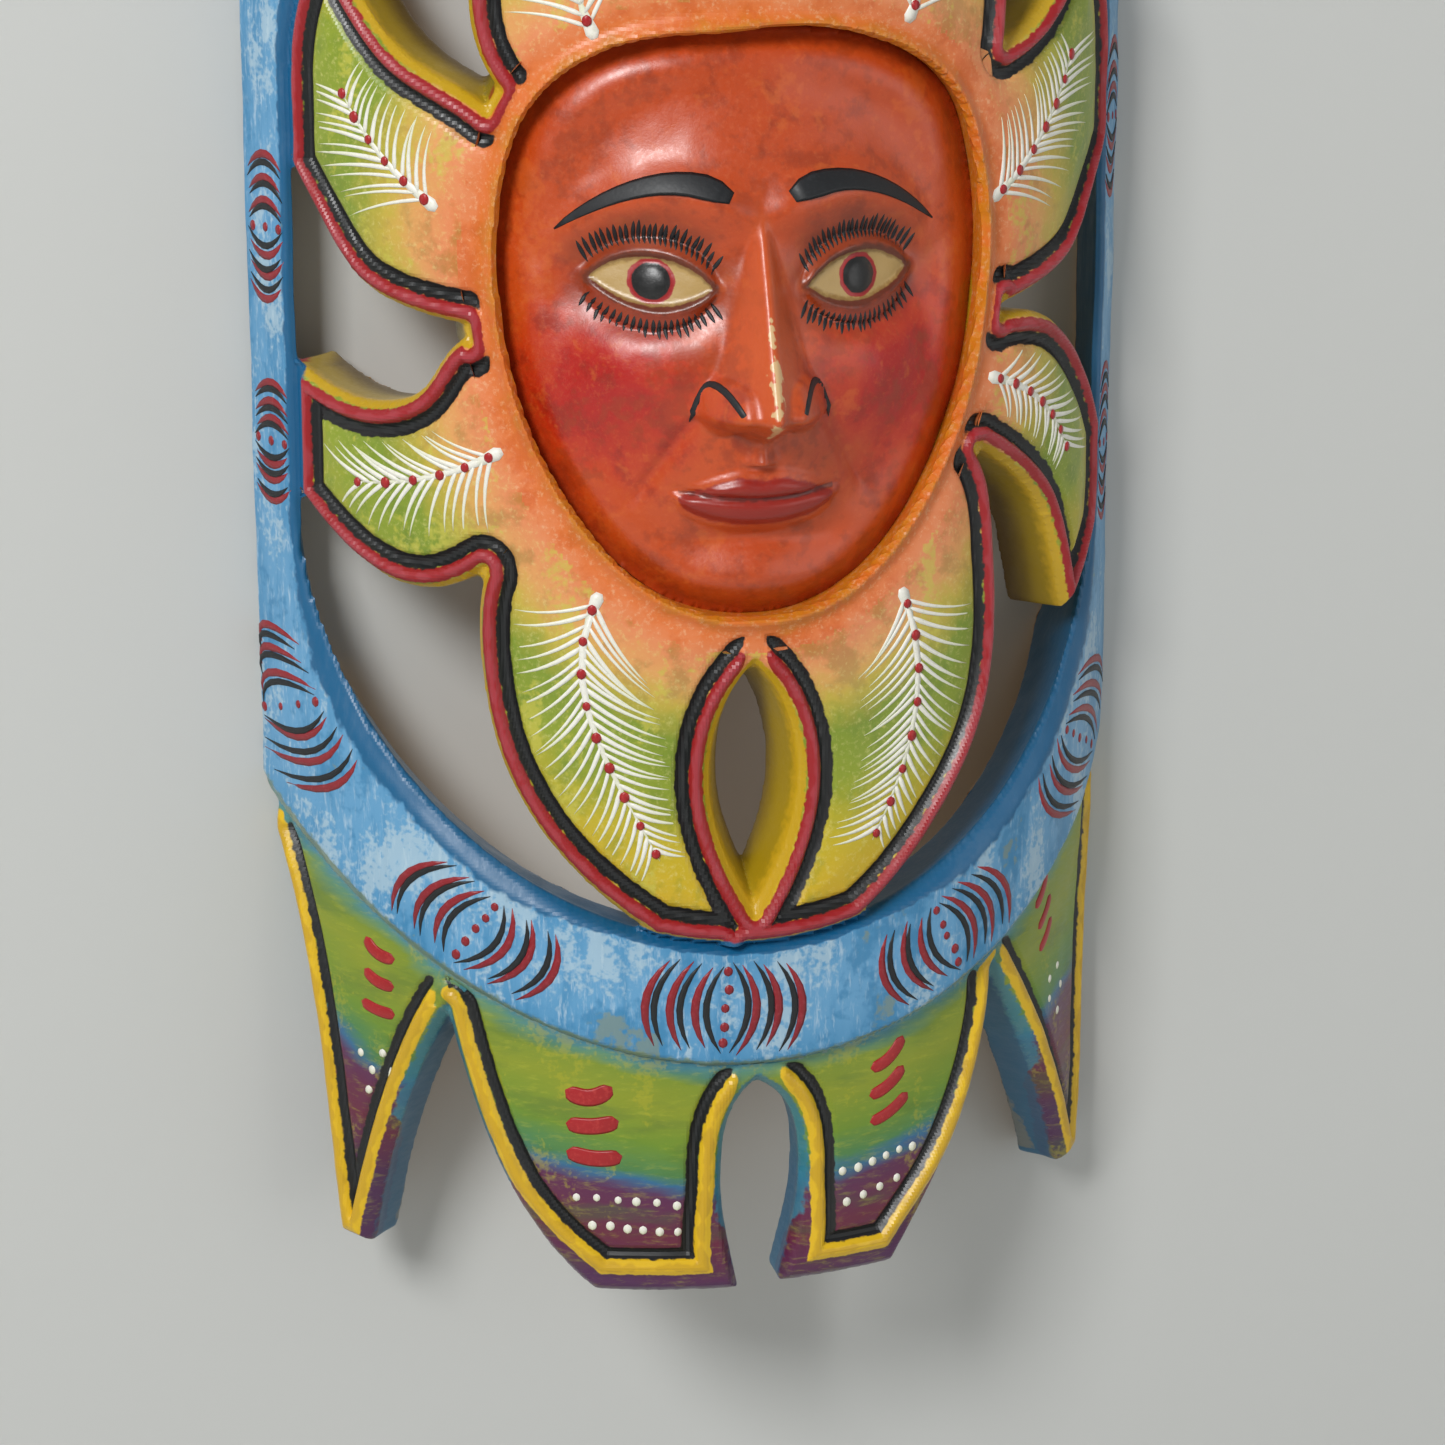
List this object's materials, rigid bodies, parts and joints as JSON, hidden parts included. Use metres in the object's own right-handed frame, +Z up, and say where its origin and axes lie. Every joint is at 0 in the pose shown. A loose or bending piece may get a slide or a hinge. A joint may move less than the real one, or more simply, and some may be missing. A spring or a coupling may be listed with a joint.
{
  "type": "wall mask",
  "caption": "Tall carved and painted wooden wall mask: a face in an openwork of leaves inside a blue frame, with pointed tabs, hung from ring hangers on its back.",
  "frame": {"origin": "the middle of the flat back, on the wall plane", "axes": "+Z up, +X to the viewer's right, -Y out of the wall towards the viewer"},
  "size_m": [0.2792, 0.127, 0.614],
  "materials": {
    "frame_paint": "satin acrylic paint on carved wood, mottled blue",
    "face_paint": "varnished red and orange paint on carved wood",
    "collar_paint": "brushed peach and orange paint on carved wood",
    "leaf_paint": "brushed green to yellow paint on carved wood",
    "tab_paint": "brushed green and purple paint on carved wood",
    "hanger_steel": "zinc plated, dulled"
  },
  "bodies": {
    "mask": {"frame_rail_left": "frame_paint", "frame_rail_right": "frame_paint", "frame_arch_lower": "frame_paint", "frame_arch_upper": "frame_paint", "face": "face_paint", "collar": "collar_paint", "leaf_temple_left": "leaf_paint", "leaf_temple_right": "leaf_paint", "leaf_cheek_left": "leaf_paint", "leaf_cheek_right": "leaf_paint", "leaf_chin_left": "leaf_paint", "leaf_chin_right": "leaf_paint", "leaf_crown_left": "leaf_paint", "leaf_crown_right": "leaf_paint", "lower_prong_left": "tab_paint", "lower_prong_right": "tab_paint", "lower_lobe_left": "tab_paint", "lower_lobe_right": "tab_paint", "upper_prong_left": "tab_paint", "upper_prong_right": "tab_paint", "upper_lobe_left": "tab_paint", "upper_lobe_right": "tab_paint", "hanger_strap_left": "hanger_steel", "hanger_screws_left": "hanger_steel", "hanger_strap_right": "hanger_steel", "hanger_screws_right": "hanger_steel"},
    "ring_left": {"hanger_ring_left": "hanger_steel"},
    "ring_right": {"hanger_ring_right": "hanger_steel"}
  },
  "joints": [
    {"name": "ring_left_swing", "type": "hinge", "parent": "mask", "child": "ring_left", "pos_m": [-0.1255, -0.003, 0.128], "axis": [-1, 0, 0], "range_deg": [0, 165]},
    {"name": "ring_right_swing", "type": "hinge", "parent": "mask", "child": "ring_right", "pos_m": [0.1255, -0.003, 0.128], "axis": [-1, 0, 0], "range_deg": [0, 165]}
  ]
}
